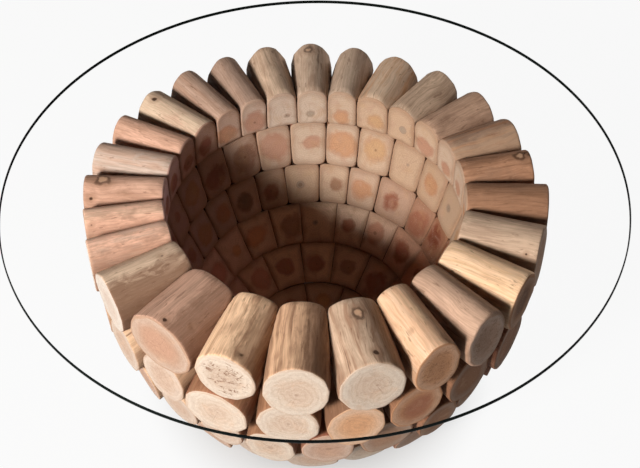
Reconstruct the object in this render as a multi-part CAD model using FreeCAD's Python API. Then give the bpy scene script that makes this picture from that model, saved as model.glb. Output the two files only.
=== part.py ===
import FreeCAD, Part
import math
import os

# Round coffee table: a hollow bowl of short peeled logs, laid end-out in ring courses like the stones of a
# well, with a loose glass disc lying on the level crowns of the top course.
# Millimetres, +Z up, origin on the floor at the centre of the bowl. Angles are in degrees, counted
# counter-clockwise seen from above, from the front of the table, which faces -Y.

# Glass top
glass_diameter = 900.0
glass_thickness = 6.0
glass_edge_bulge = 2.0
glass_seat_gap = 0.2

# Bowl: its outer side follows one arc in upright section, and the courses divide that arc
crown_height = 425.0
rim_outer_radius = 338.0
bowl_curve_radius = 510.0
course_angle = 10.0
first_bed_angle = 5.5
first_bed_slope = 13.0
lower_bed_lean = 2.5
course_start_angles = (3.2, 0.9, -5.7, 7.0, -2.0, 10.0)

# Logs
log_length = 120.0
rim_log_height = 96.0
crown_flat_depth = 0.6
log_edge_ease = 3.0
glue_gap = 0.4
log_width_share = 0.92
log_bedding_share = 1.015
lower_end_lean = 12.0
lower_end_set_back = 4.0

# Widths of the logs around the three upper courses, from the front, as shares of each other in a course
rim_width_shares = (
    17.4, 13.8, 14.2, 15.2, 16.0, 14.2, 13.1, 13.6, 13.9, 13.3, 13.8, 12.1, 12.5,
    12.8, 11.7, 11.8, 13.0, 11.5, 12.5, 12.7, 10.9, 10.4, 16.1, 20.6, 16.3, 16.6,
)
second_width_shares = (
    15.6, 16.0, 15.2, 16.8, 16.4, 15.5, 16.9, 15.6, 16.0, 15.5, 14.0, 15.1,
    14.5, 15.5, 14.6, 15.6, 15.0, 15.8, 14.4, 15.2, 15.1, 18.6, 17.1,
)
third_width_shares = (
    15.9, 16.8, 14.2, 15.0, 14.6, 13.9, 15.2, 14.4, 14.7, 19.7, 14.8, 13.8,
    15.9, 14.2, 15.0, 14.4, 15.2, 14.0, 14.8, 14.6, 15.1, 14.3, 14.5, 15.0,
)
# How far each rim log stands out past the ring, as a share of the log's length
rim_reach_shares = (
    0.02, 0.03, 0.04, 0.02, 0.0, 0.0, -0.05, -0.05, -0.05, -0.05, -0.05, -0.02, 0.03,
    0.02, 0.04, 0.04, 0.02, 0.0, 0.01, 0.0, -0.01, 0.0, 0.01, -0.05, -0.01, 0.03,
)
# The three lower courses have these numbers of logs. Their widths, and the reach of all logs below the rim,
# vary by a wave of the golden angle, which never falls into step with the ring.
lower_log_counts = (20, 15, 10)
golden_angle = 137.508
lower_width_share = 0.08
lower_reach_share = 0.03

# Hidden dowels: one across each joint within a course, and one from each log up into the course above
dowel_diameter = 8.0
dowel_length = 40.0
dowel_chamfer = 1.0
dowel_radial_gap = 0.15
dowel_end_gap = 0.5
side_dowel_share = 0.42
bed_dowel_share = 0.55

# How far cutting shapes run past what they cut
overrun = 20.0

UP = FreeCAD.Vector(0, 0, 1)
ORIGIN = FreeCAD.Vector(0, 0, 0)
FRONT_ANGLE = -90.0
RIM = 0
LAST = len(course_start_angles) - 1

upper_width_shares = (rim_width_shares, second_width_shares, third_width_shares)
rim_axis_height = crown_height + crown_flat_depth - rim_log_height / 2
curve_centre_radius = rim_outer_radius - bowl_curve_radius


def turned(shape, angle):
    """A copy of a shape made over the +X half plane, turned to an angle from the front."""
    copy = shape.copy()
    copy.rotate(ORIGIN, UP, FRONT_ANGLE + angle)
    return copy


def in_section(radius, height):
    """A point of the bowl's upright section."""
    return FreeCAD.Vector(radius, 0, height)


def arc_point(angle):
    """The point of the bowl's outer arc that lies this far below the rim's level."""
    rad = math.radians(angle)
    return in_section(
        curve_centre_radius + bowl_curve_radius * math.cos(rad),
        rim_axis_height - bowl_curve_radius * math.sin(rad),
    )


def inward(slope):
    """The direction into the bowl along a line whose outer end lies lower by this slope."""
    rad = math.radians(slope)
    return FreeCAD.Vector(-math.cos(rad), 0, math.sin(rad))


def square_up(slope):
    """The upward direction square to a line of this slope."""
    rad = math.radians(slope)
    return FreeCAD.Vector(math.sin(rad), 0, math.cos(rad))


def bed_angle(course):
    """Where the bed under a course meets the outer arc."""
    return first_bed_angle + course * course_angle


def bed_slope(course):
    """The slope of the bed under a course. The first is steeper, so that the rim logs lie level on top."""
    return first_bed_slope if course == RIM else bed_angle(course) + lower_bed_lean


def log_slope(course):
    """The slope of a course's logs: level at the rim, and midway between the two beds lower down."""
    return 0.0 if course == RIM else (bed_slope(course - 1) + bed_slope(course)) / 2


def log_end(course):
    """The middle of the outer ends of a course's logs."""
    if course == RIM:
        return arc_point(0)
    return arc_point((bed_angle(course - 1) + bed_angle(course)) / 2)


def half_height(course):
    """Half the height of a log at its outer end."""
    if course == RIM:
        return rim_log_height / 2
    return bowl_curve_radius * math.tan(math.radians(course_angle / 2)) * log_bedding_share


def wave(course, number):
    """A value between -1 and 1 that differs from log to log."""
    return math.sin(math.radians(golden_angle * (number + course * (LAST + 1))))


def width_shares(course):
    """The widths of a course's logs, as shares of each other."""
    uppers = len(upper_width_shares)
    if course < uppers:
        return upper_width_shares[course]
    return [1 + lower_width_share * wave(course, n) for n in range(lower_log_counts[course - uppers])]


def reach(course, number):
    """How far a log stands out past its course's ring of ends."""
    if course == RIM:
        return rim_reach_shares[number] * log_length
    return lower_reach_share * wave(course, number + LAST) * log_length - lower_end_set_back


def joint_angles(course):
    """The angles of the joints around a course. The last one closes the ring on the first."""
    shares = width_shares(course)
    angles = [course_start_angles[course]]
    for share in shares:
        angles.append(angles[-1] + share / sum(shares) * 360)
    return angles


def bed_line(course, side):
    """The outer and inner end of the bed under a course, set half a glue line up (1) or down (-1)."""
    slope = bed_slope(course)
    start = arc_point(bed_angle(course)) + square_up(slope) * (side * glue_gap / 2)
    return start - inward(slope) * overrun, start + inward(slope) * (log_length + overrun)


def course_section(course):
    """The upright section that a course fills, between its two beds, or its bed and the glass's level."""
    low_out, low_in = bed_line(course, 1)
    if course == RIM:
        top_out = in_section(low_out.x, crown_height)
        top_in = in_section(low_in.x, crown_height)
    else:
        top_out, top_in = bed_line(course - 1, -1)
    return Part.Face(Part.makePolygon([low_out, top_out, top_in, low_in, low_out]))


def wedge(course, first, last):
    """The space of one log: the course's section, swept between two joints and set in by half a glue line."""
    inner_radius = (log_end(course) + inward(log_slope(course)) * log_length).x
    inset = math.degrees(glue_gap / 2 / inner_radius)
    swept = course_section(course).revolve(ORIGIN, UP, last - first - 2 * inset)
    return turned(swept, first + inset)


def oval(along, half_width, half, lean):
    """An oval across a log that lies along X, with its top leaning back into the log by an angle."""
    centre = FreeCAD.Vector(along, 0, 0)
    side = FreeCAD.Vector(along, -half_width, 0)
    top = FreeCAD.Vector(along - half * math.tan(math.radians(lean)), 0, half)
    wide = half_width > (top - centre).Length
    return Part.Wire([Part.Ellipse(side if wide else top, top if wide else side, centre).toShape()])


def round_log(course, half_width, reach_out):
    """A peeled oval log on its course's slope, with its outer edge eased, before its flats are planed."""
    half = half_height(course)
    lean = 0.0 if course == RIM else lower_end_lean
    ovals = [
        oval(reach_out, half_width - log_edge_ease, half - log_edge_ease, lean),
        oval(reach_out - log_edge_ease, half_width, half, lean),
        oval(-log_length, half_width, half, 0.0),
    ]
    log = Part.makeLoft(ovals, True, True)
    log.rotate(ORIGIN, FreeCAD.Vector(0, 1, 0), log_slope(course))
    log.translate(log_end(course))
    return log


def planed_log(course, number, span, bores):
    """One log with its flats planed and its dowels bored, sawn off level where it meets the floor."""
    first, last = span
    half_width = log_end(course).x * math.tan(math.radians(last - first) / 2) * log_width_share
    log = turned(round_log(course, half_width, reach(course, number)), (first + last) / 2)
    space = wedge(course, first, last)
    if space.BoundBox.ZMin < 0:
        side = glass_diameter + overrun
        space = space.cut(Part.makeBox(side, side, side, FreeCAD.Vector(-side / 2, -side / 2, -side)))
    return log.common(space.cut(bores)).Solids[0]


def rod(centre, direction, radius, length, chamfer):
    """A round rod about its middle, with both ends chamfered."""
    outline = Part.makePolygon(
        [
            (0, 0, -length / 2),
            (radius - chamfer, 0, -length / 2),
            (radius, 0, chamfer - length / 2),
            (radius, 0, length / 2 - chamfer),
            (radius - chamfer, 0, length / 2),
            (0, 0, length / 2),
            (0, 0, -length / 2),
        ]
    )
    shape = Part.Face(outline).revolve(ORIGIN, UP, 360)
    shape.Placement = FreeCAD.Placement(centre, FreeCAD.Rotation(UP, direction))
    return shape


def dowel(centre, direction):
    return rod(centre, direction, dowel_diameter / 2, dowel_length, dowel_chamfer)


def dowel_bore(centre, direction):
    """The two blind bores that a dowel sits in, as one rod."""
    radius = dowel_diameter / 2 + dowel_radial_gap
    return rod(centre, direction, radius, dowel_length + 2 * dowel_end_gap, dowel_chamfer)


def side_dowel_place(course):
    """Where a dowel crosses a joint within a course."""
    centre = log_end(course) + inward(log_slope(course)) * (log_length * side_dowel_share)
    return centre, FreeCAD.Vector(0, 1, 0)


def bed_dowel_place(course):
    """Where a dowel crosses the bed under a course."""
    slope = bed_slope(course)
    centre = arc_point(bed_angle(course)) + inward(slope) * (log_length * bed_dowel_share)
    return centre, square_up(slope)


def widest_overlap(spans, first, last):
    """The log of a course that shares most of an angle range, and the middle of what they share."""
    best = (0, 0, 0)
    for number, (start, end) in enumerate(spans):
        for turn in (-360, 0, 360):
            low = max(first, start + turn)
            high = min(last, end + turn)
            best = max(best, (high - low, number, (low + high) / 2))
    return best[1], best[2]


def glass_disc():
    """The glass top: a disc with a pencil-polished edge."""
    bottom = crown_height + glass_seat_gap
    top = bottom + glass_thickness
    edge = glass_diameter / 2
    outline = Part.Wire(
        [
            Part.makeLine(in_section(0, bottom), in_section(edge - glass_edge_bulge, bottom)),
            Part.Arc(
                in_section(edge - glass_edge_bulge, bottom),
                in_section(edge, bottom + glass_thickness / 2),
                in_section(edge - glass_edge_bulge, top),
            ).toShape(),
            Part.makeLine(in_section(edge - glass_edge_bulge, top), in_section(0, top)),
            Part.makeLine(in_section(0, top), in_section(0, bottom)),
        ]
    )
    return Part.Face(outline).revolve(ORIGIN, UP, 360)


def build():
    """All pieces, as lists of solids by the name of their node."""
    rings = [joint_angles(course) for course in range(LAST + 1)]
    spans = [list(zip(ring, ring[1:])) for ring in rings]
    bores = [[[] for _ in row] for row in spans]
    nodes = {"glass_top": [glass_disc()]}

    for course, row in enumerate(spans):
        place = side_dowel_place(course)
        pins = nodes.setdefault(f"course_{course + 1}_side_dowels", [])
        for number, (angle, _) in enumerate(row):
            pins.append(turned(dowel(*place), angle))
            bore = turned(dowel_bore(*place), angle)
            bores[course][number].append(bore)
            bores[course][number - 1].append(bore)

    for course in range(LAST):
        place = bed_dowel_place(course)
        pins = nodes.setdefault(f"course_{course + 1}_to_{course + 2}_dowels", [])
        for number, (first, last) in enumerate(spans[course + 1]):
            above, angle = widest_overlap(spans[course], first, last)
            pins.append(turned(dowel(*place), angle))
            bore = turned(dowel_bore(*place), angle)
            bores[course + 1][number].append(bore)
            bores[course][above].append(bore)

    for course, row in enumerate(spans):
        for number, span in enumerate(row):
            log = planed_log(course, number, span, bores[course][number])
            name = f"rim_log_{number + 1:02d}" if course == RIM else f"course_{course + 1}_logs"
            nodes.setdefault(name, []).append(log)
    return nodes


os.makedirs("parts", exist_ok=True)
for name, solids in build().items():
    shape = solids[0] if len(solids) == 1 else Part.makeCompound(solids)
    shape.exportStep(f"parts/{name}.step")
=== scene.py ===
import bpy
import math
import numpy as np
from mathutils import Matrix, Vector


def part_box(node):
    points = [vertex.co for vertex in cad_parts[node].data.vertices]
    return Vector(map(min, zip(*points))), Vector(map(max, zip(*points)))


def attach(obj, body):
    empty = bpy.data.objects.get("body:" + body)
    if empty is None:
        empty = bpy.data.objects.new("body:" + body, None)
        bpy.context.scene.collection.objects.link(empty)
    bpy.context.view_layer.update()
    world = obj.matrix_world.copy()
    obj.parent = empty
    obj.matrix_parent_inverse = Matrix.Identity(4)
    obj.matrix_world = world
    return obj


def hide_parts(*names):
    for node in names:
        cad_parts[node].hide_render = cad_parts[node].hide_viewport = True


# Round coffee table: a bowl of short peeled logs laid end-out in ring courses, under a loose disc of clear
# glass. Metres, +Z up, the front of the table towards -Y. Angles round the bowl are in degrees, counted
# counter-clockwise from the front as seen from above. Turns about a log's own axis are in radians.

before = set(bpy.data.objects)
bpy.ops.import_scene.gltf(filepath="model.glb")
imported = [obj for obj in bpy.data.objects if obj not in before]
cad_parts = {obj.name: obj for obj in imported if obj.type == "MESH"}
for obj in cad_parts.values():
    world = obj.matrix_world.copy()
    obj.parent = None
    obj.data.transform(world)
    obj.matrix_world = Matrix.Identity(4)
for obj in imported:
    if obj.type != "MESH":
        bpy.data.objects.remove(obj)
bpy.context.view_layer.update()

# Layout of the bowl, as in the solids apart from the glue line, which is drawn thinner
CROWN = 0.425  # height of the crowns that carry the glass
LENGTH = 0.120  # of a log, from the outer arc inwards
CURVE = 0.510  # radius of the outer arc
RIM_RADIUS = 0.338
RIM_HEIGHT = 0.096
FLAT_DEPTH = 0.0006  # planed off the crowns
GLUE = 0.0001
COURSE_STEP = 10.0  # degrees of the arc in a lower course
FIRST_BED = 5.5  # degrees down the arc to the bed under the rim
FIRST_SLOPE = 13.0  # slope of that bed
BED_LEAN = 2.5  # how much steeper the other beds are than the arc's radius
WIDTH_SHARE = 0.92  # width of a log's oval as a share of its wedge
BEDDING_SHARE = 1.015  # height of a lower log's oval as a share of its course
END_LEAN = 12.0  # lean of the lower courses' outer ends
SET_BACK = 0.004  # of those ends from the arc
STARTS = (3.2, 0.9, -5.7, 7.0, -2.0, 10.0)  # first joint of each course
# Widths of the logs in the upper courses, as shares of the ring
UPPER_WIDTHS = (
    (
        17.4, 13.8, 14.2, 15.2, 16.0, 14.2, 13.1, 13.6, 13.9, 13.3, 13.8, 12.1, 12.5,
        12.8, 11.7, 11.8, 13.0, 11.5, 12.5, 12.7, 10.9, 10.4, 16.1, 20.6, 16.3, 16.6,
    ),
    (
        15.6, 16.0, 15.2, 16.8, 16.4, 15.5, 16.9, 15.6, 16.0, 15.5, 14.0, 15.1,
        14.5, 15.5, 14.6, 15.6, 15.0, 15.8, 14.4, 15.2, 15.1, 18.6, 17.1,
    ),
    (
        15.9, 16.8, 14.2, 15.0, 14.6, 13.9, 15.2, 14.4, 14.7, 19.7, 14.8, 13.8,
        15.9, 14.2, 15.0, 14.4, 15.2, 14.0, 14.8, 14.6, 15.1, 14.3, 14.5, 15.0,
    ),
)
LOWER_COUNTS = (20, 15, 10)
# How far the rim logs reach past the arc, as shares of their length
RIM_REACHES = (
    0.02, 0.03, 0.04, 0.02, 0.0, 0.0, -0.05, -0.05, -0.05, -0.05, -0.05, -0.02, 0.03,
    0.02, 0.04, 0.04, 0.02, 0.0, 0.01, 0.0, -0.01, 0.0, 0.01, -0.05, -0.01, 0.03,
)
GOLDEN = 137.508  # degrees between neighbours in wave()
LOWER_WIDTHS = 0.08  # how much the widths differ in the courses below the upper ones
LOWER_REACH = 0.03  # how much the reaches differ below the rim, as a share of the length
UPPER = len(UPPER_WIDTHS)
LAST = len(STARTS) - 1
FAR = 9.0  # farther than anything on the table
Z = np.array([0.0, 0.0, 1.0])

# Surface of a log
RIM_MESH, COURSE_MESH = (96, 36), (60, 16)  # points round a log and steps along it
BENDS = 5  # rows of points on the rounded edge of an end
EASE_OUT = (0.0022, 0.0042)  # least and greatest rounding of an outer end's edge
EASE_IN = 0.0034  # rounding of an inner end's edge
WEAR = ((3, 0.35), (7, 0.2))  # waves round a worn edge and their share of the rounding
WEAR_LIMITS = (0.5, 1.6)
THINNEST = 0.002  # least radius of a section
OUTER_RINGS, INNER_RINGS = (0.12, 0.35, 0.6, 0.82), (0.85, 0.62, 0.35, 0.12)  # rows of points on the ends
OUTER_DISH, INNER_DISH = 0.0006, 0.0004  # how hollow the ends are
RIM_TILT, COURSE_TILT = 0.0022, 0.0012  # greatest slant of a saw cut, to either side
TILT_SHARE = 0.6  # share of the length in which the slant fades
WAVES = ((1, 0.010), (2, 0.014), (3, 0.012), (5, 0.008), (7, 0.006), (11, 0.004))  # waves round, and depth
WAVE_SHARES = (0.4, 1.0)  # of that depth
WAVE_DRIFT = 9  # how much the waves turn along a log
CUTS, CUT_WIDTHS = 40, (0.25, 0.75)  # draw-knife cuts, more than go round, and the limits of their widths
CUT_START, CUT_TWIST, CUT_DEPTH = 9, 1.2, 0.6
CALM, CALM_WIDTH = 0.7, 0.35  # how much truer a rim log is near its crown, and how far round
TRUE_SHARE = 0.3  # share of a lower log's length that is true, at its inner end
CORNER_DEPTH = 0.019  # where the upper courses' corners are full, behind the inner ends
CORNER_SHARE = 0.3  # share of the length in which the other courses' corners are full
CORNER_SWELL = 0.3  # how far the round gives way there
CORNER_SEARCH = 24  # how many times finer than the mesh the corners are looked for
SOFT_CORNER, SHARP_CORNER = 13, 200  # powers for smooth_limit()
SHARP_FROM, SHARP_OVER = 0.003, 0.015  # where soft corners turn sharp, behind the inner ends
PLANED_GAIN = 18  # how soon a flat counts as planed
FLOOR_CUT, TOP_SHARE = 0.9, 0.92  # shares of the half height that bound a section sawn by the floor
KNOT_LIP, LIP_SPREAD = 0.0010, 2.2  # raised edge of an eye
KNOT_HOLLOW, HOLLOW_SPREAD = 0.0016, 2.5  # its sunken middle
KNOT_PIT = 0.0012  # depth of a dark knot
NO_KNOT = (FAR, FAR, FAR, 0.004)
SIDE, OUTER, INNER = range(3)  # materials of a log

# Colours of the wood, as they look in plain light
COLOURS = {
    "cream": (236, 208, 180),
    "honey": (230, 188, 144),
    "tan": (214, 173, 141),
    "rose": (206, 164, 142),
    "beige": (204, 176, 152),
    "grey": (186, 162, 142),
    "taupe": (164, 134, 114),
    "umber": (150, 112, 88),
    "brown": (116, 82, 62),
    "bark": (66, 42, 30),
    "amber": (202, 142, 94),
    "milk": (208, 198, 188),
    "sand": (196, 176, 160),
    "blush": (188, 158, 140),
    "stone": (182, 152, 134),
    "cinnamon": (174, 128, 98),
    "sap": (196, 166, 140),
    "orange": (194, 144, 108),
    "straw": (196, 156, 116),
    "salmon": (182, 136, 113),
    "russet": (150, 94, 74),
    "ash": (160, 144, 128),
    "linen": (204, 188, 172),
    "wheat": (238, 200, 165),
    "clay": (172, 142, 122),
}


def linear(name):
    """A named colour in the linear values that the shaders take."""
    found = []
    for value in COLOURS[name]:
        share = value / 255
        found.append(share / 12.92 if share <= 0.04045 else ((share + 0.055) / 1.055) ** 2.4)
    return np.array(found)


# The rim logs from just right of the front: crown and its tone, streaks and their strength, strength of a
# brown band on the side of the next log, partly the wood's own colour and partly painted shade on the
# front logs' sides that face away from the key light (below 0, of a pale band on the side of the last log),
# outer end and how marked it is, inner end's heart and the heart's share of the end, and knots as angle,
# distance from the middle, size and kind
RIM_LOOKS = (
    ("beige", 1.0, "umber", 0.7, 0.35, "linen", 0.2, "salmon", 0.3,
     ((12.0, 0.250, 0.0085, "eye"), (13.5, 0.317, 0.005, "dark"))),
    ("tan", 1.12, "cream", 0.4, 0.35, "orange", 0.6, "orange", 0.4,
     ((30.0, 0.331, 0.0035, "dark"), (24.0, 0.296, 0.0025, "dark"))),
    ("clay", 1.34, "taupe", 0.4, 0.1, "blush", 0.5, "salmon", 0.35, ()),
    ("wheat", 1.06, "honey", 0.4, 0.0, "cinnamon", 0.4, "orange", 0.4, ()),
    ("beige", 1.0, "taupe", 0.4, 0.0, "taupe", 0.3, "salmon", 0.3, ((66.0, 0.318, 0.0025, "dark"),)),
    ("umber", 1.18, "brown", 0.35, 0.0, "taupe", 0.3, "orange", 0.4, ()),
    ("umber", 1.58, "brown", 0.55, 0.0, "taupe", 0.3, "salmon", 0.35,
     ((100.6, 0.324, 0.0085, "dark"), (100.8, 0.309, 0.0075, "eye"))),
    ("taupe", 1.03, "cinnamon", 0.9, -0.3, "taupe", 0.3, "salmon", 0.35, ()),
    ("taupe", 1.62, "brown", 0.35, 0.0, "taupe", 0.3, "salmon", 0.45, ()),
    ("beige", 1.16, "brown", 0.35, 0.0, "taupe", 0.3, "ash", 0.14, ()),
    ("beige", 1.2, "amber", 0.5, 0.0, "taupe", 0.3, "straw", 0.36, ()),
    ("grey", 1.17, "taupe", 0.3, 0.0, "taupe", 0.3, "orange", 0.42, ()),
    ("grey", 1.23, "umber", 0.35, 0.0, "taupe", 0.3, "ash", 0.16, ((180.5, 0.322, 0.007, "eye"),)),
    ("beige", 1.0, "umber", 0.35, 0.0, "taupe", 0.3, "ash", 0.12, ((189.0, 0.338, 0.0025, "dark"),)),
    ("stone", 0.9, "umber", 0.35, 0.0, "taupe", 0.3, "salmon", 0.5, ()),
    ("stone", 1.0, "umber", 0.45, 0.0, "taupe", 0.3, "orange", 0.45, ()),
    ("cream", 0.8, "rose", 0.3, 0.0, "beige", 0.3, "russet", 0.4, ((230.0, 0.320, 0.005, "dark"),)),
    ("rose", 1.06, "umber", 0.4, 0.0, "beige", 0.3, "russet", 0.35, ()),
    ("blush", 1.08, "milk", 0.4, 0.0, "milk", 0.3, "russet", 0.4, ()),
    ("rose", 1.06, "umber", 0.3, 0.2, "blush", 0.2, "russet", 0.35,
     ((265.9, 0.3085, 0.009, "eye"), (270.5, 0.325, 0.004, "dark"))),
    ("rose", 1.34, "beige", 0.45, 0.5, "blush", 0.2, "russet", 0.4, ((281.0, 0.322, 0.003, "dark"),)),
    ("rose", 1.36, "sand", 0.4, 0.5, "milk", 0.2, "russet", 0.35, ()),
    ("beige", 1.16, "beige", 0.4, 0.8, "milk", 0.2, "russet", 0.4, ((302.0, 0.250, 0.003, "dark"),)),
    ("rose", 0.97, "taupe", 0.45, 0.6, "clay", 0.2, "russet", 0.35,
     ((321.0, 0.318, 0.004, "dark"), (327.0, 0.302, 0.003, "dark"))),
    ("wheat", 1.15, "cinnamon", 0.75, 0.55, "linen", 1.0, "russet", 0.4, ((342.0, 0.318, 0.005, "dark"),)),
    ("tan", 1.0, "brown", 0.7, 0.5, "linen", 0.15, "salmon", 0.35, ((350.0, 0.309, 0.003, "dark"),)),
)
# Hearts that stand out on the inside of the lower courses, by course and log: colour and share of the end
HEARTS = {
    (1, 6): ("ash", 0.2), (1, 7): ("orange", 0.4), (1, 8): ("ash", 0.1), (1, 9): ("straw", 0.6),
    (1, 10): ("orange", 0.62), (1, 11): ("salmon", 0.36), (1, 12): ("salmon", 0.68),
    (1, 13): ("umber", 0.64), (1, 14): ("russet", 0.5),
    (2, 7): ("russet", 0.5), (2, 8): ("salmon", 0.6), (2, 9): ("russet", 0.42), (2, 10): ("orange", 0.46),
    (2, 11): ("umber", 0.34), (2, 12): ("ash", 0.18), (2, 13): ("russet", 0.4), (2, 14): ("brown", 0.42),
    (3, 6): ("russet", 0.5), (3, 7): ("salmon", 0.45), (3, 8): ("russet", 0.35), (3, 9): ("ash", 0.12),
    (4, 7): ("russet", 0.45), (4, 8): ("russet", 0.36),
}
HEART_SHARES = (0.2, 0.35)  # least share of the other hearts, and how much they may have more
HEART_RADIUS = 0.036  # of a heart as large as its end
# Woods with streaks, outer ends and hearts that the lower courses take in turn. Their sides take dark woods,
# partly the wood's own colour and partly painted shade of the gaps in which they are seen, darkened further
# by the first tone below; the left side takes a paler wood.
LOWER_WOODS = (("cinnamon", "russet"), ("umber", "brown"), ("russet", "umber"), ("cinnamon", "brown"))
LEFT_WOOD = ("wheat", "tan")
LEFT_LIMIT = -0.5  # sine of the angle past which a lower log counts as one of the left side
LOWER_FACES = ("blush", "sand", "blush", "linen", "sand")
LOWER_HEARTS = ("salmon", "orange", "russet", "straw", "umber")
# The first of these darkens the lower courses' sides as painted shade
LOWER_SHADE_TONE, LOWER_STREAKS, LOWER_MARKS = 0.75, 0.5, 0.2
# Outer ends of the lower courses that differ from those, by course and log
FACES = {
    (1, 0): "tan", (1, 1): "orange", (1, 2): "umber", (1, 3): "umber", (1, 22): "linen",
    (2, 1): "taupe", (2, 2): "umber", (2, 3): "umber",
}
# Stains on outer ends, by course and log: colour and strength. The dark bark stain on the fourth rim log's
# end is painted shade on an end that faces away from the key light
STAINS_AND_PAINTED_SHADE = {
    (0, 1): ("brown", 0.35), (0, 2): ("brown", 0.25), (0, 3): ("bark", 0.7), (0, 23): ("salmon", 0.5),
    (0, 24): ("umber", 0.3), (1, 1): ("russet", 0.8), (1, 0): ("amber", 0.5),
}
PLAIN_STAIN = ("cinnamon", 0.25)  # of the other ends
# Tones of the inner ends, course by course from the rim down, where the higher tones of the three lowest
# courses are painted light that lifts the shade deep in the bowl, and how much they differ within a course
INNER_TONES = (1.1, 0.95, 0.92, 1.5, 1.4, 1.3)
TONE_SWING = 0.08
RIM_PALENESS, COURSE_PALENESS = 0.22, 0.12  # shares of milky wood in the inner ends
# Painted shade: shares of red, green and blue taken from the wood where less key light reaches it, at the
# right on the outer ends and sides of the lower courses, on the inner ends of the first two courses and on
# those of the others, and at the left on all inner ends
RIGHT_OUTER_SHADE = np.array([0.35, 0.45, 0.5])
RIGHT_INNER_SHADE, RIGHT_LOWER_INNER_SHADE = np.array([0.22, 0.26, 0.3]), np.array([0.43, 0.7, 0.78])
LEFT_INNER_SHADE = np.array([0.15, 0.3, 0.1])


def arc_point(angle):
    """A point of the bowl's outer arc, as radius and height."""
    rad = math.radians(angle)
    axis_height = CROWN + FLAT_DEPTH - RIM_HEIGHT / 2
    return np.array([RIM_RADIUS - CURVE + CURVE * math.cos(rad), axis_height - CURVE * math.sin(rad)])


def bed_angle(course):
    return FIRST_BED + course * COURSE_STEP


def bed_slope(course):
    return FIRST_SLOPE if course == 0 else bed_angle(course) + BED_LEAN


def log_slope(course):
    return 0.0 if course == 0 else (bed_slope(course - 1) + bed_slope(course)) / 2


def log_end(course):
    return arc_point(0 if course == 0 else (bed_angle(course - 1) + bed_angle(course)) / 2)


def wave(course, number):
    """A value between -1 and 1 that differs from log to log."""
    return math.sin(math.radians(GOLDEN * (number + course * (LAST + 1))))


def width_shares(course):
    if course < UPPER:
        return UPPER_WIDTHS[course]
    return [1 + LOWER_WIDTHS * wave(course, n) for n in range(LOWER_COUNTS[course - UPPER])]


def joint_angles(course):
    shares = width_shares(course)
    angles = [STARTS[course]]
    for share in shares:
        angles.append(angles[-1] + share / sum(shares) * 360)
    return angles


def bed_distance(course, start, rays, sign):
    """How far each ray runs on the log's side of the bed under a course, found by halving a longest run."""
    longest, halvings = 0.3, 30
    rad = math.radians(bed_slope(course))
    radius, height = arc_point(bed_angle(course))

    def inside(run):
        x, y, z = (start[:, None, k] + run * rays[None, :, k] for k in range(3))
        return sign * ((np.hypot(x, y) - radius) * math.sin(rad) + (z - height) * math.cos(rad)) > GLUE / 2

    low = np.zeros((len(start), len(rays)))
    high = np.full_like(low, longest)
    open_end = inside(high)
    for _ in range(halvings):
        middle = (low + high) / 2
        within = inside(middle)
        low = np.where(within, middle, low)
        high = np.where(within, high, middle)
    return np.where(open_end, FAR, low)


def plane_distance(start, rays, normal, offset=0.0):
    """How far each ray runs before it leaves the side of a plane that its normal points away from."""
    least = 1e-6
    speed = np.broadcast_to(rays @ normal, (len(start), len(rays)))
    room = offset - start @ normal
    return np.where(speed > least, room[:, None] / np.maximum(speed, least), FAR)


def smooth_limit(limits, sharpness):
    """The least of several distances, with the corners between them rounded off to the inside."""
    least = np.minimum.reduce(limits)
    return least * sum((least / limit) ** sharpness for limit in limits) ** (-1 / sharpness)


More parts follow.
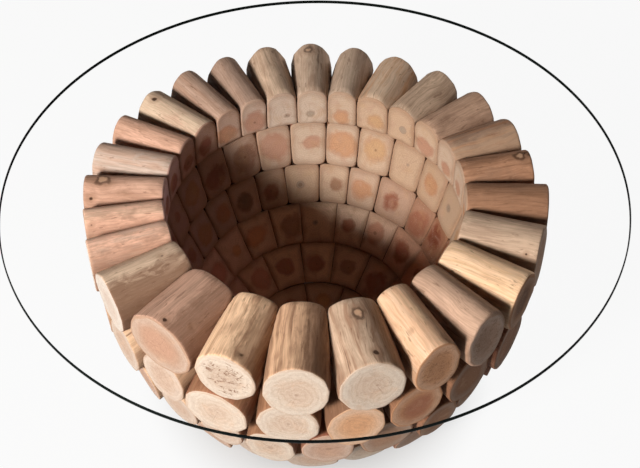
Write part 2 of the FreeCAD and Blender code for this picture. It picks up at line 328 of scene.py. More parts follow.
class Log:
    """One log of the bowl: its place, and the surface that its round, its flats and its beds leave."""

    def __init__(self, course, number, first, last):
        self.course, self.number = course, number
        self.first, self.last = first, last
        self.rng = np.random.default_rng(1000 * course + number + 7)
        self.ease_out = self.rng.uniform(*EASE_OUT)
        self.dip_seed = self.rng.integers(1 << 30)
        middle = math.radians((first + last) / 2)
        self.middle = middle
        out = np.array([math.sin(middle), -math.cos(middle), 0.0])
        slope = math.radians(log_slope(course))
        self.side = np.array([math.cos(middle), math.sin(middle), 0.0])
        self.axis = out * math.cos(slope) - Z * math.sin(slope)
        self.up = out * math.sin(slope) + Z * math.cos(slope)
        radius, height = log_end(course)
        self.end = out * radius + Z * height
        self.half_width = radius * math.tan(math.radians(last - first) / 2) * WIDTH_SHARE
        lower_half = CURVE * math.tan(math.radians(COURSE_STEP / 2)) * BEDDING_SHARE
        self.half_height = RIM_HEIGHT / 2 if course == 0 else lower_half
        self.lean = 0.0 if course == 0 else math.tan(math.radians(END_LEAN))
        lower_reach = LOWER_REACH * wave(course, number + LAST) * LENGTH - SET_BACK
        self.reach = RIM_REACHES[number] * LENGTH if course == 0 else lower_reach

    def lift(self, along):
        """How far the middle of a section lies above the log's axis, where the floor cuts the log."""
        if self.course < LAST:
            return np.zeros_like(along)
        floor = -(self.end[2] + along * self.axis[2]) / self.up[2]
        low = np.maximum(floor, -self.half_height * FLOOR_CUT)
        return (low + self.half_height * TOP_SHARE) / 2

    def distances(self, along, turn):
        """The log's radius at places along it and turns about it, how far it is planed, and its lift."""
        lift = self.lift(along)
        start = self.end + along[:, None] * self.axis + lift[:, None] * self.up
        rays = np.cos(turn)[:, None] * self.side + np.sin(turn)[:, None] * self.up

        wide, tall = self.half_width, self.half_height
        across, rise = np.cos(turn)[None], np.sin(turn)[None]
        a = (across / wide) ** 2 + (rise / tall) ** 2
        b = lift[:, None] * rise / tall ** 2
        c = (lift[:, None] / tall) ** 2 - 1
        round_limit = (-b + np.sqrt(np.maximum(b * b - a * c, 0))) / a
        round_limit = round_limit * (1 - self.unevenness(along, turn))
        # Behind the inner ends the round gives way to full corners, on rim logs only below
        depth = along[:, None] + LENGTH
        if self.course < UPPER:
            swell = np.clip(1.5 - 1.5 * abs(depth / CORNER_DEPTH - 1), 0, 1)
        else:
            swell = np.clip(1 - depth / (LENGTH * CORNER_SHARE), 0, 1)
        if self.course == 0:
            swell = swell * np.clip(-2 * np.sin(turn)[None], 0, 1)
        round_limit = round_limit * (1 + CORNER_SWELL * swell)

        inner_radius = log_end(self.course)[0] - LENGTH * math.cos(math.radians(log_slope(self.course)))
        inset = GLUE / 2 / inner_radius
        low, high = math.radians(self.first) + inset, math.radians(self.last) - inset
        flats = [
            plane_distance(start, rays, -np.array([math.cos(low), math.sin(low), 0.0])),
            plane_distance(start, rays, np.array([math.cos(high), math.sin(high), 0.0])),
            plane_distance(start, rays, -Z),
            bed_distance(self.course, start, rays, 1),
        ]
        if self.course == 0:
            flats.append(plane_distance(start, rays, Z, CROWN))
        else:
            flats.append(bed_distance(self.course - 1, start, rays, -1))
        ease = np.clip((along + LENGTH - SHARP_FROM) / SHARP_OVER, 0, 1)[:, None]
        corner = SOFT_CORNER if self.course < UPPER else SHARP_CORNER
        limit = smooth_limit([round_limit] + flats, corner + (SHARP_CORNER - corner) * ease ** 2)
        cut = np.minimum.reduce(flats[:4] if self.course == 0 else flats)
        planed = np.clip((round_limit - cut) / round_limit * PLANED_GAIN, 0, 1)
        return limit, planed, lift

    def unevenness(self, along, turn):
        """How far waves and draw-knife cuts dip below a true oval, as a share of its radius."""
        rng = np.random.default_rng(self.dip_seed)
        dip = np.zeros((len(along), len(turn)))
        for waves, depth in WAVES:
            phase, drift = rng.uniform(0, 2 * math.pi), rng.normal(0, WAVE_DRIFT)
            swell = rng.uniform(*WAVE_SHARES) * depth
            dip += swell * (0.5 + 0.5 * np.sin(waves * turn[None] + phase + drift * along[:, None]))
        edges = np.cumsum(rng.uniform(*CUT_WIDTHS, CUTS))
        twist = turn[None] + CUT_START + rng.normal(0, CUT_TWIST) * along[:, None]
        after = np.searchsorted(edges, twist)
        half = (edges[after] - edges[after - 1]) / 2
        dip += CUT_DEPTH * (1 - np.cos(half) / np.cos(twist - edges[after - 1] - half))
        if self.course == 0:
            dip *= 1 - CALM * np.exp(-(((turn[None] - math.pi / 2) / CALM_WIDTH) ** 2))
        else:
            dip *= np.clip((along[:, None] + LENGTH * (1 - TRUE_SHARE)) / (LENGTH * TRUE_SHARE), 0, 1)
        return dip


def knots_of(log, places):
    """Two knots of a log as local place and size, where a negative size marks a dark one."""
    found, lowest = [], 0.05
    for angle, radius, size, kind in places:
        turn = math.radians(angle) - log.middle
        across = radius * math.sin(turn)
        along = radius * math.cos(turn) - log_end(0)[0]
        rise = log.half_height * math.sqrt(max(1 - (across / log.half_width) ** 2, lowest))
        found.append((along, across, rise, size if kind == "eye" else -size))
    while len(found) < 2:
        found.append(NO_KNOT)
    return np.array(found)


def log_mesh(log, around, steps, knots):
    """Points, local places, flags, faces and materials of a log, from its outer end to its inner end."""
    turn = np.linspace(0, 2 * math.pi, around, endpoint=False) - math.pi / 2
    closer = np.linspace(0, 2 * math.pi, CORNER_SEARCH * around, endpoint=False) - math.pi / 2
    depth = CORNER_DEPTH if log.course < UPPER else EASE_IN
    reach = log.distances(np.array([depth - LENGTH]), closer)[0][0]
    for corner in closer[(reach > np.roll(reach, 1)) & (reach >= np.roll(reach, -1))]:
        turn[np.argmin(abs(turn - corner))] = corner
    ease_out = log.ease_out
    bends = np.linspace(0, math.pi / 2, BENDS)
    sides = np.linspace(log.reach - ease_out, EASE_IN - LENGTH, steps + 1)[1:-1]
    along = np.concatenate([
        log.reach - ease_out * (1 - np.cos(bends)), sides, EASE_IN * (1 - np.cos(bends[::-1])) - LENGTH,
    ])
    pull = np.concatenate([
        ease_out * (1 - np.sin(bends)), np.zeros(len(sides)), EASE_IN * (1 - np.sin(bends[::-1])),
    ])
    limit, planed, lift = log.distances(along, turn)
    wear = np.ones(around)
    for waves, swing in WEAR:
        wear += swing * np.sin(waves * turn + log.rng.uniform(0, 6))
    limit = np.maximum(limit - pull[:, None] * np.clip(wear, *WEAR_LIMITS), THINNEST)

    across = limit * np.cos(turn)
    rise = lift[:, None] + limit * np.sin(turn)
    for knot in knots:
        near = (along[:, None] - knot[0]) ** 2 + (across - knot[1]) ** 2 + (rise - knot[2]) ** 2
        share = near / knot[3] ** 2
        eye = KNOT_LIP * np.exp(-share / LIP_SPREAD) - KNOT_HOLLOW * np.exp(-share * HOLLOW_SPREAD)
        limit = limit + (eye if knot[3] > 0 else -KNOT_PIT * np.exp(-share))
    across = limit * np.cos(turn)
    rise = lift[:, None] + limit * np.sin(turn)

    tilt = log.rng.uniform(-1, 1, 2) * (RIM_TILT if log.course == 0 else COURSE_TILT)
    fading = LENGTH * TILT_SHARE
    share = np.clip((along + fading) / (log.reach + fading), 0, 1) ** 2
    slant = abs(tilt).sum() + tilt[0] * across / log.half_width + tilt[1] * rise / log.half_height
    where = along[:, None] - share[:, None] * (slant + log.lean * rise)

    centre = along[0] - abs(tilt).sum() - (tilt[1] / log.half_height + log.lean) * lift[0]
    rows = []
    for ring in OUTER_RINGS:
        sawn = centre + (where[0] - centre) * ring - OUTER_DISH * (1 - ring ** 2)
        rows.append((sawn, across[0] * ring, lift[0] + (rise[0] - lift[0]) * ring, ring, planed[0]))
    for k in range(len(along)):
        rows.append((where[k], across[k], rise[k], 1.0, planed[k]))
    for ring in INNER_RINGS:
        inner = -LENGTH + INNER_DISH * (1 - ring ** 2)
        rows.append((inner, across[-1] * ring, lift[-1] + (rise[-1] - lift[-1]) * ring, ring, planed[-1]))

    local = [np.stack(np.broadcast_arrays(row[0], row[1], row[2]), 1) for row in rows]
    flags = [np.stack(np.broadcast_arrays(row[3], row[4]), 1) for row in rows]
    ends = np.array([
        [centre - OUTER_DISH, 0, lift[0]],
        [INNER_DISH - LENGTH, 0, lift[-1]],
    ])
    local = np.concatenate(local + [ends])
    flags = np.concatenate(flags + [np.zeros((2, 2))])

    count = len(rows)
    i, j = np.meshgrid(np.arange(count - 1), np.arange(around), indexing="ij")
    k = (j + 1) % around
    quads = np.stack([i * around + j, (i + 1) * around + j, (i + 1) * around + k, i * around + k], -1)
    # The ends' woods reach a few rows over their rounded edges
    outer_rows = len(OUTER_RINGS) + 2
    inner_row = count - 1 - len(INNER_RINGS) - 3
    kind = np.where(i < outer_rows, OUTER, np.where(i >= inner_row, INNER, SIDE))
    here = np.arange(around)
    after = (here + 1) % around
    first_fan = np.stack([np.full(around, count * around), here, after], 1)
    bottom = (count - 1) * around
    last_fan = np.stack([np.full(around, count * around + 1), bottom + after, bottom + here], 1)
    faces = quads.reshape(-1, 4).tolist() + first_fan.tolist() + last_fan.tolist()
    kinds = np.concatenate([kind.ravel(), np.full(around, OUTER), np.full(around, INNER)])
    points = log.end + local[:, :1] * log.axis + local[:, 1:2] * log.side + local[:, 2:] * log.up
    if log.course == 0:
        points[:, 2] = np.minimum(points[:, 2], CROWN)
    points[:, 2] = np.maximum(points[:, 2], 0)
    return points, local, flags, faces, kinds


def look_of(log):
    """Colours and knots of a log, as in RIM_LOOKS."""
    if log.course == 0:
        return RIM_LOOKS[log.number]
    pick = abs(wave(log.course, 3 * log.number + 1))
    wood, streak = LOWER_WOODS[(log.number * 3 + log.course) % len(LOWER_WOODS)]
    face = LOWER_FACES[(log.number * 2 + log.course) % len(LOWER_FACES)]
    face = FACES.get((log.course, log.number), face)
    heart = LOWER_HEARTS[(log.number * 7 + log.course * 3) % len(LOWER_HEARTS)]
    least, more = HEART_SHARES
    heart, share = HEARTS.get((log.course, log.number), (heart, least + more * pick))
    if math.sin(log.middle) < LEFT_LIMIT:
        wood, streak = LEFT_WOOD
    return wood, LOWER_SHADE_TONE, streak, LOWER_STREAKS, 0.0, face, LOWER_MARKS, heart, share, ()


def attribute(mesh, name, kind, values):
    field = "vector" if kind == "FLOAT_VECTOR" else "color"
    mesh.attributes.new(name, kind, "POINT").data.foreach_set(field, np.asarray(values, np.float32).ravel())


def log_piece(name, logs, around, steps, materials):
    """One object made of one or more logs, with the data that their wood is drawn from."""
    points, faces, kinds = [], [], []
    keys = ("local", "shape", "wood", "streak", "face", "sap", "heart", "knot_1", "knot_2", "band", "stain")
    data = {key: [] for key in keys}
    base = 0
    for log in logs:
        wood, tone, streak, strength, band, face, marked, heart, heart_share, places = look_of(log)
        knots = knots_of(log, places)
        stain, soaked = STAINS_AND_PAINTED_SHADE.get((log.course, log.number), PLAIN_STAIN)
        found, local, flags, polygons, kind = log_mesh(log, around, steps, knots)
        size = len(found)
        seed = log.rng.uniform(0, 40)
        # Painted light: the higher tones of the deep courses brighten inner ends that lie in shade
        inner_tone_with_painted_light_and_shade = INNER_TONES[log.course] * (1 + TONE_SWING * wave(log.course, 5 * log.number + 2))
        paleness = RIM_PALENESS if log.course == 0 else COURSE_PALENESS
        paleness = paleness * (1 + wave(log.course, 3 * log.number + 1))
        sap = linear("sap") * (1 - paleness) + linear("milk") * paleness
        # Painted shade: darker outer ends and sides at the right of the lower courses, and darker inner ends
        # at the right and at the left, where less key light reaches them
        facing = math.sin(log.middle)
        painted_outer_shade = 1 if log.course == 0 else 1 - RIGHT_OUTER_SHADE * max(facing, 0) ** 2
        painted_inner_shade = RIGHT_INNER_SHADE if log.course < 2 else RIGHT_LOWER_INNER_SHADE
        inner_tone_with_painted_light_and_shade = inner_tone_with_painted_light_and_shade * (1 - painted_inner_shade * max(facing, 0) ** 2)
        inner_tone_with_painted_light_and_shade = inner_tone_with_painted_light_and_shade * (1 - LEFT_INNER_SHADE * max(-facing, 0) ** 2)
        band_colour = "brown" if band >= 0 else "wheat"
        points.append(found)
        faces += [[base + v for v in polygon] for polygon in polygons]
        kinds.append(kind)
        data["local"].append(local)
        data["shape"].append(np.column_stack([flags, np.full(size, seed)]))
        rows = (
            ("wood", linear(wood) * tone * painted_outer_shade, strength),
            ("streak", linear(streak), log.rng.uniform(0, 1)),
            ("face", linear(face) * painted_outer_shade, marked),
            ("sap", sap * inner_tone_with_painted_light_and_shade, heart_share * HEART_RADIUS),
            ("heart", linear(heart) * inner_tone_with_painted_light_and_shade, log.rng.uniform(0, 1)),
            ("knot_1", knots[0][:3], knots[0][3]),
            ("knot_2", knots[1][:3], knots[1][3]),
            ("band", linear(band_colour), band),
            ("stain", linear(stain), soaked),
        )
        for key, colour, extra in rows:
            data[key].append(np.tile(np.append(colour, extra), (size, 1)))
        base += size
    mesh = bpy.data.meshes.new(name)
    mesh.from_pydata(np.concatenate(points).tolist(), [], faces)
    mesh.polygons.foreach_set("material_index", np.concatenate(kinds).astype(np.int32))
    mesh.polygons.foreach_set("use_smooth", np.ones(len(mesh.polygons), bool))
    for key, values in data.items():
        kind = "FLOAT_VECTOR" if key in ("local", "shape") else "FLOAT_COLOR"
        attribute(mesh, key, kind, np.concatenate(values))
    for material in materials:
        mesh.materials.append(material)
    mesh.update()
    piece = bpy.data.objects.new(name, mesh)
    bpy.context.scene.collection.objects.link(piece)
    return piece


class Look:
    """The nodes of a material or a world, and short ways to add to them."""

    def __init__(self, owner, shader="Principled BSDF"):
        self.owner = owner
        owner.use_nodes = True
        self.tree = owner.node_tree
        self.shader = self.tree.nodes[shader]

    def put(self, socket, value):
        if isinstance(value, bpy.types.NodeSocket):
            self.tree.links.new(value, socket)
        else:
            socket.default_value = value

    def add(self, kind, inputs=(), **settings):
        node = self.tree.nodes.new("ShaderNode" + kind)
        for key, value in settings.items():
            setattr(node, key, value)
        for key, value in dict(inputs).items():
            self.put(node.inputs[key], value)
        return node

    def place(self, name):
        return self.add("Attribute", attribute_name=name).outputs["Vector"]

    def data(self, name):
        """A colour that the mesh carries, and the value beside it."""
        outputs = self.add("Attribute", attribute_name=name).outputs
        return outputs["Color"], outputs["Alpha"]

    def math(self, operation, a, b=0.0):
        return self.add("Math", {0: a, 1: b}, operation=operation).outputs[0]

    def times(self, a, b):
        return self.math("MULTIPLY", a, b)

    def plus(self, a, b):
        return self.math("ADD", a, b)

    def vector(self, operation, a, b=(0, 0, 0), scale=None):
        inputs = {0: a, 1: b}
        if scale is not None:
            inputs["Scale"] = scale
        node = self.add("VectorMath", inputs, operation=operation)
        return node.outputs["Value" if operation in ("LENGTH", "DISTANCE", "DOT_PRODUCT") else "Vector"]

    def parts(self, value):
        return self.add("SeparateXYZ", {0: value}).outputs

    def joined(self, x, y, z):
        return self.add("CombineXYZ", {0: x, 1: y, 2: z}).outputs[0]

    def noise(self, place, stretch, detail=3.0, roughness=0.55, distortion=0.0):
        inputs = {
            "Vector": self.vector("MULTIPLY", place, stretch), "Scale": 1.0,
            "Detail": detail, "Roughness": roughness, "Distortion": distortion,
        }
        return self.add("TexNoise", inputs).outputs[0]

    def ramp(self, value, start, end, low=0.0, high=1.0):
        inputs = {0: value, 1: start, 2: end, 3: low, 4: high}
        return self.add("MapRange", inputs, interpolation_type="SMOOTHSTEP").outputs[0]

    def mix(self, share, a, b, blend="MIX"):
        node = self.add("Mix", {0: share, 6: a, 7: b}, data_type="RGBA", blend_type=blend)
        return node.outputs[2]

    def bump(self, height, strength, distance):
        inputs = {"Height": height, "Strength": strength, "Distance": distance}
        return self.add("Bump", inputs).outputs[0]

    def finish(self, colour, roughness, normal, specular=0.25):
        self.put(self.shader.inputs["Base Color"], colour)
        self.put(self.shader.inputs["Roughness"], roughness)
        self.put(self.shader.inputs["Normal"], normal)
        self.shader.inputs["Specular IOR Level"].default_value = specular
        return self.owner

    def seen(self):
        """1 for the eye, also by way of mirrors and glass, and 0 for the light that falls on the table."""
        path = self.add("LightPath").outputs
        through = self.math("MAXIMUM", path["Is Glossy Ray"], path["Is Transmission Ray"])
        return self.math("MAXIMUM", path["Is Camera Ray"], through)


def solid(name, share=1.0):
    return (*(linear(name) * share), 1.0)


def side_wood(name):
    """Peeled sides: soft streaks and weather patches, grain that parts round knots, brown side bands that
    are partly painted shade, painted shade on the lower flanks and on the planed flats in the gaps, and a
    painted glow near the flats' outer ends.
    """
    look = Look(bpy.data.materials.new(name))
    local = look.place("local")
    _, planed, seed = look.parts(look.place("shape"))
    wood, strength = look.data("wood")
    streak, _ = look.data("streak")
    place, rings, marks, eyes = local, 0.0, 0.0, 0.0
    for key in ("knot_1", "knot_2"):
        middle, signed_size = look.data(key)
        size = look.math("ABSOLUTE", signed_size)
        apart = look.vector("SUBTRACT", local, middle)
        far = look.math("DIVIDE", look.vector("LENGTH", apart), size)
        pull = look.math("EXPONENT", look.times(look.times(far, far), -0.25))
        bent = look.vector("MULTIPLY", apart, (0.1, -0.62, -0.62))
        place = look.vector("ADD", place, look.vector("SCALE", bent, scale=pull))
        is_eye = look.math("GREATER_THAN", signed_size, 0.0)
        uneven = look.ramp(look.noise(local, (90, 90, 90), 1.0, 0.5), 0.3, 0.7, -0.3, 0.3)
        rough_far = look.plus(far, uneven)
        ring = look.times(look.ramp(rough_far, 0.4, 0.85), look.ramp(rough_far, 1.45, 0.85))
        ring = look.times(ring, is_eye)
        spot = look.times(look.ramp(rough_far, 1.0, 0.35), look.math("SUBTRACT", 1.0, is_eye))
        eye = look.times(look.ramp(rough_far, 0.7, 0.3), is_eye)
        halo = look.times(look.ramp(rough_far, 3.2, 0.9), 0.4)
        rings = look.plus(rings, look.math("MAXIMUM", look.times(ring, 0.66), spot))
        marks = look.plus(marks, halo)
        eyes = look.plus(eyes, eye)
    offset = look.joined(seed, look.times(seed, 1.7), look.times(seed, 2.3))
    spread = look.vector("ADD", place, look.vector("SCALE", offset, scale=0.013))
    sway = look.ramp(look.noise(spread, (9, 14, 14), 2.0, 0.5), 0.2, 0.8, -0.004, 0.004)
    curved = look.vector("ADD", spread, look.joined(0.0, sway, sway))
    long_streaks = look.noise(curved, (7, 95, 95), 4.0, 0.6, 0.3)
    grain = look.noise(curved, (22, 420, 420), 3.0, 0.6)
    patches = look.noise(spread, (12, 30, 30), 3.0, 0.6, 0.6)
    mottle = look.noise(curved, (34, 85, 85), 4.0, 0.65, 0.6)
    flecks = look.noise(curved, (60, 230, 230), 2.0, 0.5, 0.3)
    cracks = look.noise(curved, (7, 240, 240), 2.0, 0.5, 0.4)
    along, across, rise = look.parts(local)

    share = look.times(look.ramp(long_streaks, 0.44, 0.66), strength)
    colour = look.mix(share, wood, streak)
    weathered = look.mix(0.5, streak, solid("taupe"))
    colour = look.mix(look.ramp(patches, 0.5, 0.72, 0.0, 0.5), colour, weathered)
    paler = look.vector("SCALE", wood, scale=1.35)
    paler = look.mix(1.0, paler, solid("cream"), "DARKEN")
    colour = look.mix(look.ramp(patches, 0.48, 0.28, 0.0, 0.4), colour, paler)
    colour = look.mix(look.ramp(mottle, 0.5, 0.72, 0.0, 0.35), colour, streak)
    colour = look.mix(look.ramp(flecks, 0.63, 0.73, 0.0, 0.5), colour, solid("brown"))
    lines = look.mix(look.ramp(grain, 0.3, 0.7), (0.83, 0.81, 0.79, 1), (1.09, 1.09, 1.09, 1))
    colour = look.mix(1.0, colour, lines, "MULTIPLY")
    # Brown band along the side of the next log: partly the wood's own colour, partly painted shade on the
    # front logs' sides that face away from the key light; below 0, a pale band on the other side
    band, signed_share = look.data("band")
    towards = look.times(across, look.math("SIGN", signed_share))
    towards = look.plus(towards, look.ramp(mottle, 0.3, 0.7, -0.008, 0.008))
    banded = look.math("ABSOLUTE", signed_share)
    banded = look.times(look.ramp(towards, -0.002, 0.024), banded)
    colour = look.mix(banded, colour, band)
    # Painted shade: the lower flanks of each log turn brown where they go down into the gaps between the
    # logs
    low = look.plus(rise, look.ramp(mottle, 0.3, 0.7, -0.006, 0.006))
    colour = look.mix(look.ramp(low, 0.036, 0.006, 0.0, 0.55), colour, solid("brown"))
    crack = look.ramp(cracks, 0.70, 0.77)
    colour = look.mix(look.times(crack, 0.55), colour, solid("bark"))
    # Painted shade on the planed flats, which face the neighbouring logs across the gaps: dark russet and
    # bark, with a painted glow of amber near the outer end
    gap_shade_and_glow = look.mix(look.ramp(long_streaks, 0.35, 0.6), solid("russet", 0.75), solid("bark"))
    gap_shade_and_glow = look.mix(look.ramp(along, -0.07, -0.03), solid("bark", 0.8), gap_shade_and_glow)
    gap_shade_and_glow = look.mix(look.ramp(along, -0.045, -0.01, 0.0, 0.5), gap_shade_and_glow, solid("amber"))
    colour = look.mix(look.times(planed, 0.92), colour, gap_shade_and_glow)
    colour = look.mix(look.math("MINIMUM", marks, 0.6), colour, solid("umber"))
    colour = look.mix(look.math("MINIMUM", rings, 0.92), colour, solid("bark", 0.7))
    colour = look.mix(look.times(eyes, 0.7), colour, solid("tan"))
    height = look.plus(look.times(grain, 0.5), look.times(long_streaks, 0.9))
    height = look.math("SUBTRACT", height, look.times(crack, 0.7))
    roughness = look.ramp(grain, 0.2, 0.8, 0.8, 0.64)
    return look.finish(colour, roughness, look.bump(height, 0.45, 0.0012), 0.2)


def end_wood(name, inside):
    """Sawn ends: faint rings about an off-centre heart, short checks, saw marks and a worn edge."""
    look = Look(bpy.data.materials.new(name))
    local = look.place("local")
    core, _, seed = look.parts(look.place("shape"))
    face, marked = look.data("face")
    sap, extent = look.data("sap")
    heart, chance = look.data("heart")
    _, off_centre = look.data("streak")
    offset = look.joined(look.times(seed, 0.31), seed, look.times(seed, 0.7))
    spread = look.vector("ADD", local, offset)
    _, x, y = look.parts(local)
    turn = look.times(seed, 2.4)
    shift = look.times(off_centre, 0.007)
    x = look.math("SUBTRACT", x, look.times(look.math("COSINE", turn), shift))
    y = look.math("SUBTRACT", y, look.times(look.math("SINE", turn), shift))
    plane = look.joined(x, y, 0.0)
    warp = look.noise(spread, (30, 30, 30), 2.0, 0.5)
    radius = look.plus(look.vector("LENGTH", plane), look.ramp(warp, 0.2, 0.8, -0.003, 0.003))
    rings = look.ramp(look.math("SINE", look.times(radius, 1650.0)), -0.4, 1.0)
    heading = look.vector("SCALE", look.vector("NORMALIZE", plane), scale=7.0)
    heading = look.vector("ADD", heading, look.joined(seed, 0.0, look.times(radius, 14.0)))
    checks = look.noise(heading, (1, 1, 1), 2.0, 0.5)
    grit = look.noise(spread, (700, 700, 700), 2.0, 0.6)
    saw = look.noise(spread, (10, 60, 900), 2.0, 0.5)
    stain = look.noise(spread, (38, 38, 38), 3.0, 0.6, 0.6)
    wobble = look.noise(spread, (46, 46, 46), 3.0, 0.6, 0.3)
    check = look.times(look.ramp(checks, 0.63, 0.70), look.ramp(radius, 0.030, 0.006))
    pith = look.ramp(chance, 0.5, 0.7)
    pith = look.times(look.ramp(radius, 0.0028, 0.0010), pith)

    if inside:
        share = look.math("DIVIDE", radius, extent)
        drift = look.noise(spread, (24, 24, 24), 2.0, 0.5)
        share = look.times(share, look.ramp(drift, 0.25, 0.75, 0.78, 1.25))
        frayed = look.ramp(look.noise(spread, (160, 160, 160)), 0.3, 0.7, -0.08, 0.08)
        share = look.plus(share, frayed)
        inmost = look.ramp(share, 1.3, 0.7, 0.0, 0.85)
        colour = look.mix(inmost, sap, heart)
        edge = look.times(look.ramp(share, 0.5, 0.9), look.ramp(share, 1.3, 0.9))
        darker = look.mix(0.6, heart, solid("russet"))
        colour = look.mix(look.times(edge, 0.25), colour, darker)
        colour = look.mix(look.ramp(stain, 0.48, 0.72, 0.0, 0.4), colour, solid("rose", 0.75))
        colour = look.mix(look.ramp(wobble, 0.5, 0.3, 0.0, 0.25), colour, solid("straw", 0.9))
        colour = look.mix(look.ramp(core, 0.7, 1.0, 0.0, 0.35), colour, solid("umber", 0.8))
        faint, checking, spot = 0.24, 0.35, 0.5
    else:
        colour = face
        rim = look.times(look.ramp(core, 0.55, 0.92), look.ramp(core, 1.0, 0.95))
        colour = look.mix(look.times(rim, 0.22), colour, solid("milk"))
        # Stains soaked into the outer ends, which on the fourth rim log are painted shade
        stained, soaked = look.data("stain")
        drift = look.ramp(look.noise(spread, (18, 18, 18), 2.0, 0.5), 0.25, 0.75, -0.13, 0.13)
        soak = look.ramp(look.plus(core, drift), 0.85, 0.3)
        colour = look.mix(look.times(soak, soaked), colour, stained)
        colour = look.mix(look.ramp(stain, 0.52, 0.74, 0.0, 0.25), colour, solid("tan"))
        waves = look.plus(radius, look.ramp(wobble, 0.2, 0.8, -0.006, 0.006))
        waves = look.ramp(look.math("SINE", look.times(waves, 700.0)), -1.0, 1.0)
        colour = look.mix(look.times(waves, 0.16), colour, solid("umber"))
        scrawl = look.noise(spread, (10, 60, 120), 2.0, 0.55, 1.0)
        scrawl = look.math("ABSOLUTE", look.math("SUBTRACT", scrawl, 0.5))
        broken = look.ramp(look.noise(spread, (90, 90, 90), 2.0, 0.5), 0.44, 0.54)
        scrawl = look.times(look.ramp(scrawl, 0.045, 0.01), broken)
        scrawl = look.times(scrawl, look.ramp(core, 0.97, 0.75))
        scrawl = look.times(scrawl, look.times(marked, 0.85))
        colour = look.mix(scrawl, colour, solid("brown"))
        faint, checking, spot = 0.1, 0.4, 0.3
    dim = look.mix(0.5, colour, solid("umber"))
    colour = look.mix(look.times(rings, faint), colour, dim)
    colour = look.mix(look.ramp(saw, 0.5, 0.75, 0.0, 0.14), colour, dim)
    colour = look.mix(look.times(check, checking), colour, solid("brown"))
    colour = look.mix(look.times(pith, spot), colour, solid("brown"))
    colour = look.mix(look.ramp(core, 0.95, 1.0, 0.0, 0.15), colour, solid("cinnamon"))
    lines = look.mix(look.ramp(grit, 0.3, 0.7), (0.9, 0.89, 0.88, 1), (1.05, 1.05, 1.05, 1))
    colour = look.mix(1.0, colour, lines, "MULTIPLY")
    height = look.plus(look.times(grit, 0.5), look.times(saw, 0.8))
    dips = look.plus(look.times(rings, 0.15), look.times(check, 0.8))
    height = look.math("SUBTRACT", height, dips)
    return look.finish(colour, look.ramp(grit, 0.2, 0.8, 0.85, 0.72), look.bump(height, 0.35, 0.001), 0.15)


def dowel_wood(name):
    """Turned pins: pale close wood with fine grain."""
    look = Look(bpy.data.materials.new(name))
    place = look.add("TexCoord").outputs["Object"]
    grain = look.noise(place, (420, 420, 420), 4.0, 0.6, 0.5)
    colour = look.mix(look.ramp(grain, 0.35, 0.65), solid("honey"), solid("tan"))
    return look.finish(colour, look.ramp(grain, 0.2, 0.8, 0.65, 0.5), look.bump(grain, 0.2, 0.0005))


def clear_glass(name):
    """Clear sheet glass with the faintest smudges."""
    look = Look(bpy.data.materials.new(name))
    place = look.add("TexCoord").outputs["Object"]
    smudge = look.noise(place, (9, 9, 9), 4.0, 0.6, 0.4)
    look.put(look.shader.inputs["Roughness"], look.ramp(smudge, 0.45, 0.85, 0.0, 0.02))
    look.shader.inputs["Base Color"].default_value = (1, 1, 1, 1)
    look.shader.inputs["Transmission Weight"].default_value = 1.0
    look.shader.inputs["IOR"].default_value = 1.02
    look.shader.inputs["Specular IOR Level"].default_value = 0.5
    return look.owner


def dark_edge(name):
    """The polished edge, where the length of the glass turns the light dark green."""
    look = Look(bpy.data.materials.new(name))
    place = look.add("TexCoord").outputs["Object"]
    tone = look.noise(place, (6, 6, 30), 3.0)
    colour = look.mix(look.ramp(tone, 0.3, 0.7), (0.002, 0.003, 0.003, 1), (0.004, 0.006, 0.005, 1))
    look.put(look.shader.inputs["Base Color"], colour)
    look.shader.inputs["Roughness"].default_value = 0.3
    look.shader.inputs["Specular IOR Level"].default_value = 0.05
    return look.owner


def glass_disc(materials):
    """The glass: two flat faces and a bulged, polished edge."""
    low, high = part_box("glass_top")
    bottom, top, edge = low.z, high.z, high.x
    half, bulge = (top - bottom) / 2, 0.002
    turns, edge_steps = 256, 12
    flat = (0.02, 0.2, 0.4, edge - 0.004)
    on_edge = range(len(flat), len(flat) + edge_steps)
    profile = [(radius, bottom) for radius in flat]
    radius = (half ** 2 + bulge ** 2) / (2 * bulge)
    reach = math.asin(half / radius)
    for step in range(edge_steps + 1):
        angle = reach * (2 * step / edge_steps - 1)
        profile.append((edge - radius + radius * math.cos(angle), bottom + half + radius * math.sin(angle)))
    profile += [(radius, top) for radius in flat[::-1]]
    rings = len(profile)
    points = []
    for radius, height in profile:
        for step in range(turns):
            angle = 2 * math.pi * step / turns
            points.append((radius * math.cos(angle), radius * math.sin(angle), height))
    faces, kinds = [], []
    for ring in range(rings - 1):
        for step in range(turns):
            after = (step + 1) % turns
            here, above = ring * turns, (ring + 1) * turns
            faces.append((here + step, here + after, above + after, above + step))
            kinds.append(1 if ring in on_edge else 0)
    faces.append(tuple(range(turns))[::-1])
    faces.append(tuple((rings - 1) * turns + step for step in range(turns)))
    kinds += [0, 0]
    mesh = bpy.data.meshes.new("glass_sheet")
    mesh.from_pydata(points, [], faces)
    mesh.polygons.foreach_set("material_index", np.array(kinds, np.int32))
    mesh.polygons.foreach_set("use_smooth", np.array(kinds, bool))
    for material in materials:
        mesh.materials.append(material)
    mesh.update()
    piece = bpy.data.objects.new("glass_sheet", mesh)
    bpy.context.scene.collection.objects.link(piece)
    return piece


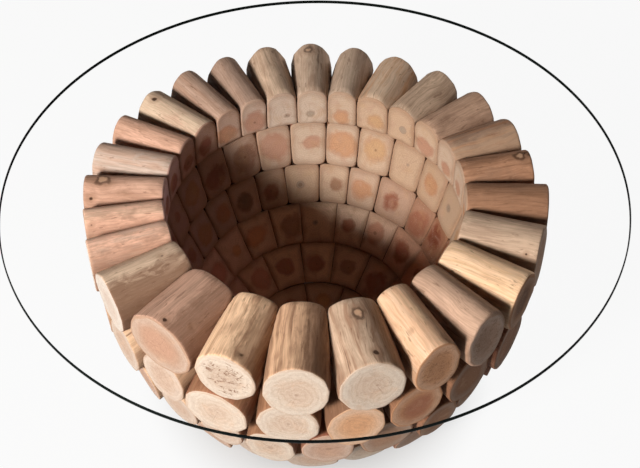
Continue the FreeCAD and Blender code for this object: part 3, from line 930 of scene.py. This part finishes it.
woods = [side_wood("peeled_log"), end_wood("sawn_end", False), end_wood("inner_end", True)]
for course in range(LAST + 1):
    angles = joint_angles(course)
    spans = zip(angles, angles[1:])
    logs = [Log(course, number, first, last) for number, (first, last) in enumerate(spans)]
    if course == 0:
        for log in logs:
            piece = log_piece(f"peeled_rim_log_{log.number + 1:02d}", [log], *RIM_MESH, woods)
            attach(piece, "base")
            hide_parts(f"rim_log_{log.number + 1:02d}")
    else:
        piece = log_piece(f"peeled_course_{course + 1}", logs, *COURSE_MESH, woods)
        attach(piece, "base")
        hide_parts(f"course_{course + 1}_logs")

pins = dowel_wood("turned_pin")
for name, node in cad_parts.items():
    if name.endswith("dowels"):
        for slot in node.material_slots:
            slot.material = pins

sheet = glass_disc([clear_glass("clear_sheet"), dark_edge("sheet_edge")])
# Light reaches the logs through the clear sheet as if it were not there
sheet.visible_shadow = False
sheet.visible_diffuse = False
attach(sheet, "glass")
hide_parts("glass_top")


def studio_floor():
    """A plain pale floor that reads as white to the eye and keeps some of the table's shadow near it."""
    side, gap = 14.0, 0.0003
    corners = [(-side, -side, 0), (side, -side, 0), (side, side, 0), (-side, side, 0)]
    mesh = bpy.data.meshes.new("studio_floor")
    mesh.from_pydata(corners, [], [(0, 1, 2, 3)])
    floor = bpy.data.objects.new("studio_floor", mesh)
    floor.location.z = -gap
    bpy.context.scene.collection.objects.link(floor)
    look = Look(bpy.data.materials.new("studio_floor"))
    place = look.add("TexCoord").outputs["Object"]
    paper = look.noise(place, (3, 3, 3), 2.0)
    shade = look.mix(look.ramp(paper, 0.3, 0.7), (0.45, 0.45, 0.45, 1), (0.49, 0.49, 0.49, 1))
    look.put(look.shader.inputs["Base Color"], shade)
    look.shader.inputs["Roughness"].default_value = 0.9
    look.shader.inputs["Specular IOR Level"].default_value = 0.0
    away = look.vector("LENGTH", place)
    white = look.plus(look.ramp(away, 0.1, 0.3, 0.0, 0.93), look.ramp(away, 1.5, 7.0, 0.0, 0.07))
    share = look.times(look.seen(), white)
    glow = look.add("Emission", {"Color": (1, 1, 1, 1), "Strength": 1.0}).outputs[0]
    both = look.add("MixShader", {0: share, 1: look.shader.outputs[0], 2: glow}).outputs[0]
    look.put(look.tree.nodes["Material Output"].inputs["Surface"], both)
    mesh.materials.append(look.owner)


def studio_world():
    """Faint light from low all round, and a white ground behind the table."""
    look = Look(bpy.data.worlds.new("studio"), "Background")
    bpy.context.scene.world = look.owner
    height = look.parts(look.add("TexCoord").outputs["Generated"])[2]
    level = look.ramp(height, 0.1, 0.5, 0.03, 0.0)
    strength = look.add("MapRange", {0: look.seen(), 3: level, 4: 1.0}).outputs[0]
    look.put(look.shader.inputs["Strength"], strength)
    look.shader.inputs["Color"].default_value = (1, 1, 1, 1)


def soft_light(name, azimuth, elevation, distance, size, power, colour):
    """A square soft box aimed at the table, its azimuth counted from the front towards the left."""
    aim_height = 0.3
    light = bpy.data.lights.new(name, "AREA")
    light.size, light.energy, light.color = size, power, colour
    lamp = bpy.data.objects.new(name, light)
    turn, rise = math.radians(azimuth), math.radians(elevation)
    towards = Vector((-math.sin(turn) * math.cos(rise), -math.cos(turn) * math.cos(rise), math.sin(rise)))
    lamp.location = Vector((0, 0, aim_height)) + towards * distance
    lamp.rotation_euler = towards.to_track_quat("Z", "Y").to_euler()
    lamp.visible_glossy = lamp.visible_transmission = False
    bpy.context.scene.collection.objects.link(lamp)


def photo_camera():
    """The photo's camera, fitted to the glass, the crowns, the inner rows and the outline."""
    photo_width, focal_pixels, sensor = 640, 1285.3, 36.0
    roll = math.radians(-0.706)
    at, target = Vector((-0.0072, -1.3484, 1.7024)), Vector((0.0061, -0.0969, CROWN))
    ahead = (target - at).normalized()
    level = ahead.cross(Vector((0, 0, 1))).normalized()
    above = level.cross(ahead)
    right = level * math.cos(roll) + above * math.sin(roll)
    up = above * math.cos(roll) - level * math.sin(roll)
    lens = bpy.data.cameras.new("photo_camera")
    lens.sensor_width = sensor
    lens.lens = sensor * focal_pixels / photo_width
    camera = bpy.data.objects.new("photo_camera", lens)
    turn = Matrix((right, up, -ahead)).transposed().to_4x4()
    camera.matrix_world = Matrix.Translation(at) @ turn
    bpy.context.scene.collection.objects.link(camera)
    bpy.context.scene.camera = camera


studio_floor()
studio_world()
soft_light("key", azimuth=38, elevation=27, distance=3.0, size=0.55, power=130, colour=(1.0, 0.97, 0.93))
soft_light("fill", azimuth=222, elevation=8, distance=3.0, size=0.9, power=27, colour=(1.0, 0.98, 0.96))
photo_camera()
bpy.context.scene.view_settings.view_transform = "Standard"
